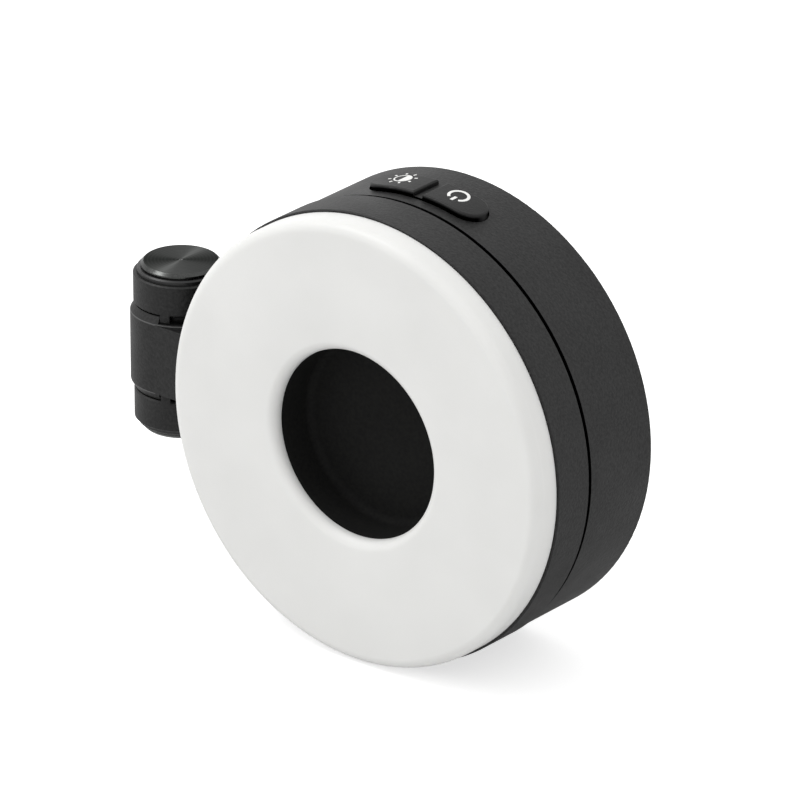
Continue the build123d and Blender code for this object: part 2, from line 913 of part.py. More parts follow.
parts = {
    "front_shell": make_front_shell(),
    "rear_shell": make_rear_shell(),
    "diffuser": make_diffuser(),
    "centre_cup": make_centre_cup(),
    "reflector": make_reflector(),
    "led_board": make_led_board(),
    "led_chips": make_led_chips(),
    "main_board": make_main_board(),
    "driver_chips": make_driver_chips(),
    "charge_port": make_charge_port(),
    "battery": make_battery(),
    "battery_pad": make_battery_pad(),
    "battery_leads": make_battery_leads(),
    "board_header": make_board_header(),
    "key_ribbon": make_key_ribbon(),
    "button_board": make_button_board(),
    "tact_switches": make_tact_switches(),
    "key_divider": make_key_divider(),
    "brightness_key": make_key(-1),
    "power_key": make_key(1),
    "brightness_plunger": make_plunger(-1),
    "power_plunger": make_plunger(1),
    "case_screws": make_case_screws(),
    "rear_pad": make_rear_pad(),
    "hinge_sleeve": make_hinge_sleeve(),
    "hinge_bushes": make_bushes(),
    "torsion_spring": make_torsion_spring(),
    "hinge_pin": make_hinge_pin(),
    "clip_arm": make_clip_arm(),
    "arm_pad": make_arm_pad(),
    "upper_collar": make_collar(),
    "lower_collar": mirrored(make_collar()),
    "upper_cap": make_cap(),
    "lower_cap": mirrored(make_cap()),
}

os.makedirs("parts", exist_ok=True)
for name, shape in parts.items():
    export_step(shape, "parts/" + name + ".step")
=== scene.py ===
import json
import math

import bmesh
import bpy
from mathutils import Matrix, Vector


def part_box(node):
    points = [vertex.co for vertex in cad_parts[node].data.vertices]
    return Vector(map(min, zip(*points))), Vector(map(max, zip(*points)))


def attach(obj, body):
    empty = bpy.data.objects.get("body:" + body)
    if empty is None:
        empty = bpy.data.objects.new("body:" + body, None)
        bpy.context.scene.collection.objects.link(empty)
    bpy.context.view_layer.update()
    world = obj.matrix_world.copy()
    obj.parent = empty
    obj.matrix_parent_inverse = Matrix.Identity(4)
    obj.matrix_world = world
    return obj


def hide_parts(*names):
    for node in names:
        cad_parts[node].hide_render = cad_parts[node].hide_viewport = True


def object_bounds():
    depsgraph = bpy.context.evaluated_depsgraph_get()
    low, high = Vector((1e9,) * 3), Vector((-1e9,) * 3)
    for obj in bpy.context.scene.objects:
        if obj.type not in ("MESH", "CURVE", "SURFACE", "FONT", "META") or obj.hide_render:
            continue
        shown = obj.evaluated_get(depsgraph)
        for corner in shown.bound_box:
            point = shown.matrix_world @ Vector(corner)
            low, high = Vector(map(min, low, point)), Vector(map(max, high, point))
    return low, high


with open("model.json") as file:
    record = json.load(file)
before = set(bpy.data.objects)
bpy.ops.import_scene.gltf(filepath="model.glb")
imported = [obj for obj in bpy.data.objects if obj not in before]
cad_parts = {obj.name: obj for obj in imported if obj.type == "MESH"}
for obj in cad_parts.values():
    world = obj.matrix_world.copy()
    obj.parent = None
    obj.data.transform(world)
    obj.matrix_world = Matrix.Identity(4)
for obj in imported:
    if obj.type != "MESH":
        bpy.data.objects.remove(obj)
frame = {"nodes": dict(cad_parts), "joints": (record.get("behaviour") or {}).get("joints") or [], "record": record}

# Clip-on ring light. Its lengths are written in millimetres and turned to metres by MM. The floor and the
# lamps are placed in metres.
MM = 0.001
cad_low, cad_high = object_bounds()
nodes = frame["nodes"]
HEAD = "light_head"
ARM = "clip_arm"

# Places and radii, read from the frame
diffuser_low, diffuser_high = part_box("diffuser")
front_low, front_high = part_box("front_shell")
rear_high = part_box("rear_shell")[1]
cup_low, cup_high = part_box("centre_cup")
face_y = diffuser_low.y
rim_y = front_low.y
cup_rim_y = cup_low.y
back_y = rear_high.y
shell_radius = rear_high.x
front_radius = front_high.x
diffuser_radius = diffuser_high.x
hinge_joint = next(joint for joint in frame["joints"] if joint["name"] == "clip_hinge")
hinge_axis = Vector(hinge_joint["pos_m"])

# Sizes that repeat the solids' own
rear_shell_depth = 14.0 * MM
seam_groove_width = 0.45 * MM
shell_wall = 1.8 * MM
seat_clearance = 0.1 * MM
recess_radius = 14.0 * MM
recess_floor_offset = 3.5 * MM
cup_wall = 1.5 * MM
diffuser_wall = 1.8 * MM
diffuser_skirt_wall = 1.6 * MM
diffuser_collar_wall = 1.3 * MM
diffuser_inner_round = 1.5 * MM
cup_collar_drop = 1.7 * MM
key_proud = 0.9 * MM
sleeve_radius = 7.33 * MM
sleeve_arris_height = 5.3 * MM
cap_neck_radius = 5.4 * MM
cap_neck_height = 0.4 * MM

seam_y = back_y - rear_shell_depth
key_top_radius = shell_radius + key_proud

# Fineness of the meshes: points closer than the merge distance become one, and an outline that is spun
# keeps the axis gap from its axis.
HOUSING_STEPS = 256
BARREL_STEPS = 128
ARC_STEPS = 10
merge_distance = 0.0005 * MM
axis_gap = 0.02 * MM


# Colour and material helpers

def colour(hex_code):
    """sRGB hex to the linear RGBA that a shader reads."""
    channels = []
    for start in (0, 2, 4):
        value = int(hex_code[start:start + 2], 16) / 255
        channels.append(value / 12.92 if value <= 0.04045 else ((value + 0.055) / 1.055) ** 2.4)
    return (*channels, 1.0)


def add_node(owner, kind, settings=None, inputs=None, links=None, stops=()):
    """Adds one shader node to a material or world, with its settings, socket values, incoming links and
    two ramp stops."""
    node = owner.node_tree.nodes.new(kind)
    for name, value in (settings or {}).items():
        setattr(node, name, value)
    for name, value in (inputs or {}).items():
        node.inputs[name].default_value = value
    for name, source in (links or {}).items():
        owner.node_tree.links.new(source, node.inputs[name])
    for index, (position, hex_code) in enumerate(stops):
        node.color_ramp.elements[index].position = position
        node.color_ramp.elements[index].color = colour(hex_code)
    return node


def new_material(name):
    """A material with an empty node tree."""
    material = bpy.data.materials.new(name)
    material.use_nodes = True
    material.node_tree.nodes.clear()
    return material


def cycles_per_metre(size_mm):
    """Noise scale for a feature of that size in millimetres."""
    return 1.0 / (size_mm * MM)


# Materials

# The shells' specular level, and the near-black of painted shade
shell_gloss = 0.36
unlit = "010101"


def moulded_black(name, dark, light, grain_mm, grain_depth_mm, rough, specular, ior=1.52, zones=None):
    """Black moulding from a spark-eroded tool: near-black in itself, with a fine satin grain that greys
    the white room it mirrors. The tool's real grain, about 0.05 mm, is drawn coarser so that it shows.
    A zones function gives masks of painted shade and painted highlights, each with the base colour and the
    specular level inside it."""
    material = new_material(name)
    flow_mm = 9.0
    point = add_node(material, "ShaderNodeTexCoord").outputs["Object"]
    grain = add_node(
        material, "ShaderNodeTexNoise",
        inputs={"Scale": cycles_per_metre(grain_mm), "Detail": 2.0, "Roughness": 0.6},
        links={"Vector": point},
    )
    flow = add_node(
        material, "ShaderNodeTexNoise",
        inputs={"Scale": cycles_per_metre(flow_mm), "Detail": 3.0, "Roughness": 0.5},
        links={"Vector": point},
    )
    base = add_node(
        material, "ShaderNodeValToRGB", links={"Fac": grain.outputs["Fac"]},
        stops=[(0.32, dark), (0.68, light)],
    ).outputs["Color"]
    roughness = add_node(
        material, "ShaderNodeMapRange",
        inputs={"From Min": 0.3, "From Max": 0.7, "To Min": rough - 0.04, "To Max": rough + 0.05},
        links={"Value": flow.outputs["Fac"]},
    )
    normal = add_node(
        material, "ShaderNodeBump",
        inputs={"Strength": 0.7, "Distance": grain_depth_mm * MM}, links={"Height": grain.outputs["Fac"]},
    )
    gloss = None
    for mask, hex_code, level in zones(material, point) if zones else ():
        base = add_node(
            material, "ShaderNodeMix", {"data_type": "RGBA"},
            {"B": colour(hex_code)}, {"A": base, "Factor": mask},
        ).outputs["Result"]
        zone_gloss = add_node(
            material, "ShaderNodeMix", {"data_type": "FLOAT"}, {"A": specular, "B": level}, {"Factor": mask},
        )
        if gloss is not None:
            material.node_tree.links.new(gloss, zone_gloss.inputs["A"])
        gloss = zone_gloss.outputs["Result"]
    shader = add_node(
        material, "ShaderNodeBsdfPrincipled", inputs={"IOR": ior, "Specular IOR Level": specular},
        links={
            "Base Color": base, "Roughness": roughness.outputs["Result"], "Normal": normal.outputs["Normal"],
        },
    )
    if gloss is not None:
        material.node_tree.links.new(gloss, shader.inputs["Specular IOR Level"])
    add_node(material, "ShaderNodeOutputMaterial", links={"Surface": shader.outputs["BSDF"]})
    return material


def distance_from_axis(material, point, axis, place=(0, 0, 0)):
    """A shader value: how far the point lies from the line along Y or Z through that place."""
    across = (1, 0, 1) if axis == "Y" else (1, 1, 0)
    offset = [-value * part for value, part in zip(place, across)]
    flat = add_node(
        material, "ShaderNodeVectorMath", {"operation": "MULTIPLY_ADD"}, {1: across, 2: offset}, {0: point},
    )
    return add_node(
        material, "ShaderNodeVectorMath", {"operation": "LENGTH"}, links={0: flat.outputs["Vector"]},
    ).outputs["Value"]


def joint_zones(material, point):
    """The groove at the joint of the two shells, where no light gets out, and the edge of the rear shell that
    lies in its shade, both get painted shade; in front of them the front shell's arris gets a painted highlight."""
    outside = add_node(
        material, "ShaderNodeMath", {"operation": "GREATER_THAN"},
        {1: shell_radius - shell_wall / 2}, {0: distance_from_axis(material, point, "Y")},
    )
    along = add_node(material, "ShaderNodeSeparateXYZ", links={"Vector": point})
    shaded_edge = 0.26 * MM
    overlap = 0.01 * MM
    arris_width = 0.14 * MM
    shade_start = seam_y - seam_groove_width - overlap
    shade = (shade_start, seam_y + shaded_edge)
    arris = (shade_start - arris_width, shade_start)
    masks = []
    for start, end in (shade, arris):
        near = add_node(
            material, "ShaderNodeMath", {"operation": "COMPARE"},
            {1: (start + end) / 2, 2: (end - start) / 2}, {0: along.outputs["Y"]},
        )
        masks.append(add_node(
            material, "ShaderNodeMath", {"operation": "MULTIPLY"},
            links={0: outside.outputs["Value"], 1: near.outputs["Value"]},
        ).outputs["Value"])
    # masks[0] carries painted shade, masks[1] a painted highlight on the front shell's arris
    return [(masks[0], unlit, 0.0), (masks[1], "3c3c3c", shell_gloss)]


def key_zones(material, point):
    """Painted shade at the feet of the keys' front and back walls, which stand in the shade of the gap round them.
    """
    full_shade_below_top = 0.5 * MM
    no_shade_below_top = 0.25 * MM
    low = add_node(
        material, "ShaderNodeMapRange",
        inputs={
            "From Min": key_top_radius - full_shade_below_top,
            "From Max": key_top_radius - no_shade_below_top,
            "To Min": 1.0, "To Max": 0.0,
        },
        links={"Value": distance_from_axis(material, point, "Y")},
    )
    facing = add_node(
        material, "ShaderNodeSeparateXYZ",
        links={"Vector": add_node(material, "ShaderNodeTexCoord").outputs["Normal"]},
    )
    size = add_node(material, "ShaderNodeMath", {"operation": "ABSOLUTE"}, links={0: facing.outputs["Y"]})
    sideways = add_node(
        material, "ShaderNodeMapRange", inputs={"From Min": 0.02, "From Max": 0.4},
        links={"Value": size.outputs["Value"]},
    )
    shade = add_node(
        material, "ShaderNodeMath", {"operation": "MULTIPLY"},
        links={0: low.outputs["Result"], 1: sideways.outputs["Result"]},
    )
    return [(shade.outputs["Value"], unlit, 0.0)]


def hinge_zones(material, point):
    """Painted highlights on the arrises where the sleeve's two chamfers meet its round side."""
    skin_middle = sleeve_radius - 0.05 * MM
    skin_half_depth = 0.15 * MM
    arris_half_width = 0.09 * MM
    side = add_node(
        material, "ShaderNodeMath", {"operation": "COMPARE"},
        {1: skin_middle, 2: skin_half_depth}, {0: distance_from_axis(material, point, "Z", hinge_axis)},
    )
    along = add_node(material, "ShaderNodeSeparateXYZ", links={"Vector": point})
    height = add_node(material, "ShaderNodeMath", {"operation": "ABSOLUTE"}, links={0: along.outputs["Z"]})
    arris = add_node(
        material, "ShaderNodeMath", {"operation": "COMPARE"},
        {1: sleeve_arris_height, 2: arris_half_width}, {0: height.outputs["Value"]},
    )
    painted_arris_highlight = add_node(
        material, "ShaderNodeMath", {"operation": "MULTIPLY"},
        links={0: side.outputs["Value"], 1: arris.outputs["Value"]},
    )
    return [(painted_arris_highlight.outputs["Value"], "505050", 0.4)]


def opal_polycarbonate():
    """Opal polycarbonate: white filler under a smooth satin skin, so light soaks in and the edges glow."""
    material = new_material("opal_polycarbonate")
    flow_mm = 14.0
    skin_mm = 0.6
    point = add_node(material, "ShaderNodeTexCoord").outputs["Object"]
    flow = add_node(
        material, "ShaderNodeTexNoise",
        inputs={"Scale": cycles_per_metre(flow_mm), "Detail": 2.0, "Roughness": 0.5},
        links={"Vector": point},
    )
    skin = add_node(
        material, "ShaderNodeTexNoise",
        inputs={"Scale": cycles_per_metre(skin_mm), "Detail": 2.0, "Roughness": 0.5},
        links={"Vector": point},
    )
    base = add_node(
        material, "ShaderNodeValToRGB", links={"Fac": flow.outputs["Fac"]},
        stops=[(0.3, "e3e3e1"), (0.7, "e8e8e6")],
    )
    normal = add_node(
        material, "ShaderNodeBump",
        inputs={"Strength": 0.4, "Distance": 0.005 * MM}, links={"Height": skin.outputs["Fac"]},
    )
    shader = add_node(
        material, "ShaderNodeBsdfPrincipled",
        inputs={
            "Roughness": 0.45, "IOR": 1.58, "Specular IOR Level": 0.32,
            "Subsurface Weight": 0.3, "Subsurface Scale": 1.2 * MM, "Subsurface Radius": (1.0, 1.0, 0.95),
        },
        links={"Base Color": base.outputs["Color"], "Normal": normal.outputs["Normal"]},
    )
    add_node(material, "ShaderNodeOutputMaterial", links={"Surface": shader.outputs["BSDF"]})
    return material


def spun_anodised_aluminium():
    """Black anodised aluminium, faced on a lathe. Its circular tool marks spread each highlight across
    themselves, so the light fans out from the centre: U of the turning map runs along the marks, and a
    quarter turn sets the highlight across them. Real marks lie about 0.05 mm apart and are drawn at
    0.5 mm so that they show."""
    material = new_material("spun_anodised_aluminium")
    mark_spacing_mm = 0.5
    wave_radians_per_unit = 20
    tangent = add_node(
        material, "ShaderNodeTangent", {"direction_type": "UV_MAP", "uv_map": "turning"},
    )
    centred = add_node(
        material, "ShaderNodeMapping", {"vector_type": "POINT"},
        {"Location": (-hinge_axis.x, -hinge_axis.y, 0)},
        {"Vector": add_node(material, "ShaderNodeTexCoord").outputs["Object"]},
    )
    marks = add_node(
        material, "ShaderNodeTexWave",
        {"wave_type": "RINGS", "rings_direction": "Z", "wave_profile": "SIN"},
        {
            "Scale": cycles_per_metre(mark_spacing_mm) * math.tau / wave_radians_per_unit,
            "Distortion": 0.8, "Detail": 3.0, "Detail Scale": 2.0,
        },
        {"Vector": centred.outputs["Vector"]},
    )
    base = add_node(
        material, "ShaderNodeValToRGB", links={"Fac": marks.outputs["Fac"]},
        stops=[(0.0, "565756"), (1.0, "5d5e5d")],
    )
    normal = add_node(
        material, "ShaderNodeBump",
        inputs={"Strength": 0.1, "Distance": 0.002 * MM}, links={"Height": marks.outputs["Fac"]},
    )
    shader = add_node(
        material, "ShaderNodeBsdfPrincipled",
        inputs={
            "Metallic": 1.0, "Roughness": 0.5, "Anisotropic": 0.9, "Anisotropic Rotation": 0.25,
            "Specular Tint": colour("7c7c7c"),
        },
        links={
            "Base Color": base.outputs["Color"], "Normal": normal.outputs["Normal"],
            "Tangent": tangent.outputs["Tangent"],
        },
    )
    add_node(material, "ShaderNodeOutputMaterial", links={"Surface": shader.outputs["BSDF"]})
    return material


def worked_metal(name, dark, light, mark_mm, rough):
    """Drawn, ground, plated or blackened metal, with fine marks that vary its gloss."""
    material = new_material(name)
    point = add_node(material, "ShaderNodeTexCoord").outputs["Object"]
    marks = add_node(
        material, "ShaderNodeTexNoise",
        inputs={"Scale": cycles_per_metre(mark_mm), "Detail": 4.0, "Roughness": 0.6},
        links={"Vector": point},
    )
    base = add_node(
        material, "ShaderNodeValToRGB", links={"Fac": marks.outputs["Fac"]},
        stops=[(0.3, dark), (0.7, light)],
    )
    roughness = add_node(
        material, "ShaderNodeMapRange",
        inputs={"From Min": 0.3, "From Max": 0.7, "To Min": rough - 0.06, "To Max": rough + 0.08},
        links={"Value": marks.outputs["Fac"]},
    )
    normal = add_node(
        material, "ShaderNodeBump",
        inputs={"Strength": 0.3, "Distance": 0.004 * MM}, links={"Height": marks.outputs["Fac"]},
    )
    shader = add_node(
        material, "ShaderNodeBsdfPrincipled", inputs={"Metallic": 1.0},
        links={
            "Base Color": base.outputs["Color"], "Roughness": roughness.outputs["Result"],
            "Normal": normal.outputs["Normal"],
        },
    )
    add_node(material, "ShaderNodeOutputMaterial", links={"Surface": shader.outputs["BSDF"]})
    return material


def cast_polymer(name, dark, light, grain_mm, grain_depth_mm, rough, ior):
    """Moulded, cast or printed plastic, resin, rubber or ink with a slight mottle under a fine grain."""
    material = new_material(name)
    point = add_node(material, "ShaderNodeTexCoord").outputs["Object"]
    grain = add_node(
        material, "ShaderNodeTexNoise",
        inputs={"Scale": cycles_per_metre(grain_mm), "Detail": 3.0, "Roughness": 0.55},
        links={"Vector": point},
    )
    mottle = add_node(
        material, "ShaderNodeTexNoise",
        inputs={"Scale": cycles_per_metre(8 * grain_mm), "Detail": 2.0, "Roughness": 0.5},
        links={"Vector": point},
    )
    base = add_node(
        material, "ShaderNodeValToRGB", links={"Fac": mottle.outputs["Fac"]},
        stops=[(0.3, dark), (0.7, light)],
    )
    roughness = add_node(
        material, "ShaderNodeMapRange",
        inputs={"From Min": 0.3, "From Max": 0.7, "To Min": rough - 0.05, "To Max": rough + 0.05},
        links={"Value": grain.outputs["Fac"]},
    )
    normal = add_node(
        material, "ShaderNodeBump",
        inputs={"Strength": 0.5, "Distance": grain_depth_mm * MM}, links={"Height": grain.outputs["Fac"]},
    )
    shader = add_node(
        material, "ShaderNodeBsdfPrincipled", inputs={"IOR": ior},
        links={
            "Base Color": base.outputs["Color"], "Roughness": roughness.outputs["Result"],
            "Normal": normal.outputs["Normal"],
        },
    )
    add_node(material, "ShaderNodeOutputMaterial", links={"Surface": shader.outputs["BSDF"]})
    return material


# After its name and its dark and light colour, moulded_black takes the grain and its depth in mm, the
# roughness, the specular level and, where it isn't ABS, the index of refraction; cast_polymer the grain
# and its depth in mm, the roughness and the index of refraction; worked_metal the size of its marks in mm
# and the roughness.
materials = {
    # ABS moulded in a spark-eroded tool: even satin black, greyer towards the light, with painted shade at the
    # shells' joint and a painted highlight on the arris in front of it
    "black_shell": moulded_black(
        "satin_black_abs", "040404", "202020", 0.42, 0.09, 0.52, shell_gloss, zones=joint_zones,
    ),
    "opal_diffuser": opal_polycarbonate(),
    # ABS with a shallow grain and hardly any gloss, so the recess stays dark
    "recess_black": moulded_black("deep_black_abs", "181818", "1e1e1d", 0.5, 0.02, 0.7, 0.06),
    # White-filled polycarbonate from a smooth tool: bright, with a soft gloss
    "white_reflector": cast_polymer("white_polycarbonate", "e6e6e2", "eeeeea", 0.4, 0.004, 0.3, 1.58),
    # Printed solder mask: a green lacquer, slightly uneven and fairly glossy
    "circuit_board": cast_polymer("green_solder_mask", "0f3a1c", "174a26", 0.5, 0.006, 0.32, 1.55),
    # Silicone cast full of phosphor: opaque yellow under a wet gloss
    "led_phosphor": cast_polymer("phosphor_silicone", "e2c64e", "ecd568", 0.3, 0.004, 0.25, 1.41),
    # Epoxy moulded round a chip: flat dark grey
    "chip_epoxy": cast_polymer("moulded_epoxy", "1b1b1c", "232325", 0.15, 0.006, 0.5, 1.55),
    # Pressed steel under nickel: a warm, slightly blurred mirror
    "port_steel": worked_metal("nickel_plated_steel", "9c9a95", "b4b2ac", 0.6, 0.28),
    # Laminated pouch foil: pale, with broad soft reflections
    "battery_foil": worked_metal("aluminium_pouch_foil", "a8aaac", "bcbec0", 2.5, 0.38),
    # Foamed sheet: its fine cells scatter the light, so nothing shines
    "foam_tape": cast_polymer("closed_cell_foam", "1c1c1d", "272728", 0.4, 0.05, 0.9, 1.45),
    # Silicone rubber moulded matt: a shade darker than the shells, with painted shade at the feet of the keys'
    # walls
    "key_rubber": moulded_black(
        "matt_silicone_rubber", "080808", "101010", 0.4, 0.05, 0.5, 0.45, 1.43, zones=key_zones,
    ),
    # Moulded acetal: waxy off-white
    "plunger_plastic": cast_polymer("acetal_plunger", "d6d4cc", "dfddd6", 0.4, 0.004, 0.4, 1.48),
    # Steel blackened in an oxide bath: dark metal with a dull shine
    "black_screws": worked_metal("black_oxide_steel", "1c1c1e", "28282b", 0.5, 0.4),
    # Silicone rubber moulded with ribs: dull and soft to look at
    "grip_rubber": cast_polymer("ribbed_silicone", "141415", "1b1b1d", 0.3, 0.015, 0.7, 1.43),
    # Nylon with much the same moulded grain as the shells: satin black, with painted highlights on the sleeve's
    # arrises
    "black_hinge": moulded_black(
        "satin_black_nylon", "040404", "1e1e1e", 0.4, 0.08, 0.5, 0.34, 1.53, zones=hinge_zones,
    ),
    # Turned acetal: waxy off-white with a low gloss
    "bush_acetal": cast_polymer("acetal_bush", "d0cec6", "dad8d0", 0.4, 0.004, 0.35, 1.48),
    # Steel drawn to wire: mid grey, with a gloss broken by the die's marks
    "spring_steel": worked_metal("drawn_spring_wire", "6e6e70", "828284", 0.4, 0.35),
    # Steel ground round: a bright pin with fine marks
    "pin_steel": worked_metal("ground_steel", "8f9092", "a6a7a9", 0.4, 0.25),
    # Nylon from a smoother tool: plain black with a tighter shine
    "collar_black": moulded_black("black_nylon_collar", "0a0a0a", "121213", 0.4, 0.02, 0.42, 0.5, 1.53),
    "spun_cap": spun_anodised_aluminium(),
    # Silicone extruded over the wires: dark red and rubbery
    "lead_sleeve": cast_polymer("silicone_wire_sleeve", "8e1717", "a02020", 0.4, 0.004, 0.45, 1.41),
    # Cast polyimide: a smooth amber film with a clear gloss
    "ribbon_film": cast_polymer("polyimide_film", "8a5214", "9c611f", 0.6, 0.003, 0.3, 1.7),
}
# Turned and anodised like the caps' faces, but with no marks that fan the light: dark with a sharp shine
turned_rim = worked_metal("turned_anodised_rim", "454645", "525352", 0.4, 0.26)
# Pad-printed ink: a thin matt film that covers the black unevenly
symbol_ink = cast_polymer("white_print_ink", "e4e4e2", "f0f0ee", 0.2, 0.003, 0.6, 1.5)
record_slots = {row["node"]: row["material_slot"] for row in frame["record"]["subparts"]}


# Mesh helpers

def finish_piece(name, mesh_data, slot, body, replaced=()):
    """Turns a bmesh into a named, smooth-shaded piece that rides on its body and replaces those nodes."""
    bmesh.ops.remove_doubles(mesh_data, verts=mesh_data.verts, dist=merge_distance)
    bmesh.ops.recalc_face_normals(mesh_data, faces=mesh_data.faces)
    mesh = bpy.data.meshes.new(name)
    mesh_data.to_mesh(mesh)
    mesh_data.free()
    piece = bpy.data.objects.new(name, mesh)
    bpy.context.scene.collection.objects.link(piece)
    mesh.materials.append(materials[slot])
    shade_by_angle(mesh)
    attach(piece, body)
    if replaced:
        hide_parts(*replaced)
    return piece


def shade_by_angle(mesh, degrees=32):
    """Smooth shading, with every edge left sharp where its faces turn by that angle or more."""
    mesh_data = bmesh.new()
    mesh_data.from_mesh(mesh)
    limit = math.radians(degrees)
    for edge in mesh_data.edges:
        if len(edge.link_faces) == 2:
            edge.smooth = edge.calc_face_angle(0.0) < limit
    for face in mesh_data.faces:
        face.smooth = True
    mesh_data.to_mesh(mesh)
    mesh_data.free()


def arc_points(centre, radius, start_degrees, end_degrees, steps):
    """Points of an arc in a profile plane, from the start angle to the end angle."""
    points = []
    for step in range(steps + 1):
        angle = math.radians(start_degrees + (end_degrees - start_degrees) * step / steps)
        points.append((centre[0] + radius * math.cos(angle), centre[1] + radius * math.sin(angle)))
    return points


def rounded_profile(corners, steps=ARC_STEPS):
    """A closed outline from (u, v, corner radius) triples, each corner rounded by an arc."""
    points = []
    count = len(corners)
    for index, (u, v, radius) in enumerate(corners):
        here = Vector((u, v))
        before = (Vector(corners[index - 1][:2]) - here).normalized()
        after = (Vector(corners[(index + 1) % count][:2]) - here).normalized()
        if radius <= 0:
            points.append((u, v))
            continue
        half = before.angle(after) / 2
        reach = radius / math.tan(half)
        centre = here + (before + after).normalized() * (radius / math.sin(half))
        start = here + before * reach - centre
        end = here + after * reach - centre
        first = math.degrees(math.atan2(start.y, start.x))
        turn = math.degrees(math.atan2(end.y, end.x)) - first
        turn = (turn + 180) % 360 - 180
        points += arc_points(centre, radius, first, first + turn, steps)
    return points


def spun_ring(outline, axis, steps, place=(0, 0, 0)):
    """A ring about the Y or Z axis, moved to its place, from a closed outline of radii and stations."""
    mesh_data = bmesh.new()
    corners = [mesh_data.verts.new(Vector((radius, 0, 0)) + station * axis) for radius, station in outline]
    edges = [mesh_data.edges.new((corners[i - 1], corners[i])) for i in range(len(corners))]
    bmesh.ops.spin(
        mesh_data, geom=corners + edges, cent=(0, 0, 0), axis=axis,
        angle=math.tau, steps=steps, use_merge=True,
    )
    bmesh.ops.remove_doubles(mesh_data, verts=mesh_data.verts, dist=merge_distance)
    bmesh.ops.translate(mesh_data, verts=mesh_data.verts, vec=place)
    return mesh_data


# Housing

def make_diffuser():
    """The opal ring: a rounded trough with a skirt inside the shell and a collar round the cup."""
    outer_round = 1.6 * MM
    rim_arris = 0.12 * MM
    skirt = front_radius - shell_wall - seat_clearance
    skirt_inner = skirt - diffuser_skirt_wall
    inside_y = face_y + diffuser_wall
    collar = recess_radius + cup_wall + seat_clearance
    collar_outer = collar + diffuser_collar_wall
    collar_end = cup_rim_y + cup_collar_drop
    outline = rounded_profile([
        (recess_radius, cup_rim_y, 0), (recess_radius, face_y, diffuser_inner_round),
        (diffuser_radius, face_y, outer_round), (diffuser_radius, rim_y, rim_arris),
        (skirt, rim_y, 0), (skirt, diffuser_high.y, 0),
        (skirt_inner, diffuser_high.y, 0), (skirt_inner, inside_y, 0),
        (collar_outer, inside_y, 0), (collar_outer, collar_end, 0),
        (collar, collar_end, 0), (collar, cup_rim_y, 0),
    ])
    mesh_data = spun_ring(outline, Vector((0, 1, 0)), HOUSING_STEPS)
    finish_piece("opal_ring", mesh_data, "opal_diffuser", HEAD, ["diffuser"])


def make_centre_cup():
    """The blind recess: a moulded cup whose wall runs into its floor by a soft corner."""
    outer = recess_radius + cup_wall
    floor_y = rim_y + recess_floor_offset
    corner = 1.2 * MM
    lip = 0.3 * MM
    outline = rounded_profile([
        (axis_gap, floor_y, 0), (recess_radius, floor_y, corner),
        (recess_radius, cup_rim_y, lip), (outer, cup_rim_y, lip),
        (outer, cup_high.y, 0), (axis_gap, cup_high.y, 0),
    ])
    mesh_data = spun_ring(outline, Vector((0, 1, 0)), HOUSING_STEPS)
    finish_piece("recess_cup", mesh_data, "recess_black", HEAD, ["centre_cup"])


make_diffuser()
make_centre_cup()


# End caps

def make_turning_map(mesh):
    """A UV map round the hinge axis, whose U runs with the lathe's cut, for the fanned highlight."""
    on_axis = 0.01 * MM
    map_size = 10 * MM
    layer = mesh.uv_layers.new(name="turning")
    for polygon in mesh.polygons:
        middle = polygon.center - Vector((hinge_axis.x, hinge_axis.y, 0))
        middle_angle = math.atan2(middle.y, middle.x)
        for loop in polygon.loop_indices:
            place = mesh.vertices[mesh.loops[loop].vertex_index].co
            across = place.x - hinge_axis.x
            along = place.y - hinge_axis.y
            radius = math.hypot(across, along)
            angle = math.atan2(along, across) if radius > on_axis else middle_angle
            while angle - middle_angle > math.pi:
                angle -= math.tau
            while middle_angle - angle > math.pi:
                angle += math.tau
            layer.data[loop].uv = (angle / math.tau, radius / map_size)


def make_end_cap(name, node, side):
    """Spun cap: a dark neck in the collar, a turned rim and a faced top with a small centre dimple."""
    low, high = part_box(node)
    outer_z = high.z if side > 0 else low.z
    rim_radius = (high.x - low.x) / 2
    rim_height = 0.6 * MM
    chamfer = 0.4 * MM
    dimple_radius = 0.25 * MM
    dimple_depth = 0.05 * MM
    face_rings = 10
    face_tolerance = 0.02 * MM
    rim_z = outer_z - side * rim_height
    neck_z = outer_z - side * (rim_height + cap_neck_height)
    step = (rim_radius - chamfer - dimple_radius) / face_rings
    outline = [(axis_gap, outer_z - side * dimple_depth)]
    outline += [(dimple_radius + step * ring, outer_z) for ring in range(face_rings + 1)]
    outline += [
        (rim_radius, outer_z - side * chamfer), (rim_radius, rim_z),
        (cap_neck_radius, rim_z), (cap_neck_radius, neck_z), (axis_gap, neck_z),
    ]
    mesh_data = spun_ring(outline, Vector((0, 0, 1)), BARREL_STEPS, (hinge_axis.x, hinge_axis.y, 0))
    piece = finish_piece(name, mesh_data, "spun_cap", ARM, [node])
    mesh = piece.data
    mesh.materials.append(turned_rim)
    make_turning_map(mesh)
    for polygon in mesh.polygons:
        on_face = abs(polygon.center.z - outer_z) < face_tolerance
        polygon.material_index = 0 if on_face else 1


make_end_cap("upper_end_cap", "upper_cap", 1)
make_end_cap("lower_end_cap", "lower_cap", -1)


# Printed symbols on the keys

print_thickness = 0.03 * MM
print_lift = 0.004 * MM
print_longest_edge = 0.35 * MM
print_row_offset = 12.95 * MM
print_y = rim_y + print_row_offset


def arc_strip(mesh_data, centre, inner, outer, start, sweep, steps):
    """A flat arc between two radii, in degrees from +X, spun from one short edge."""
    begin = Matrix.Rotation(math.radians(start), 4, "Z")
    ends = [begin @ Vector((inner, 0, 0)) + centre, begin @ Vector((outer, 0, 0)) + centre]
    corners = [mesh_data.verts.new(end) for end in ends]
    edge = mesh_data.edges.new(corners)
    bmesh.ops.spin(
        mesh_data, geom=corners + [edge], cent=centre, axis=(0, 0, 1),
        angle=math.radians(sweep), steps=steps, use_merge=sweep >= 360,
    )


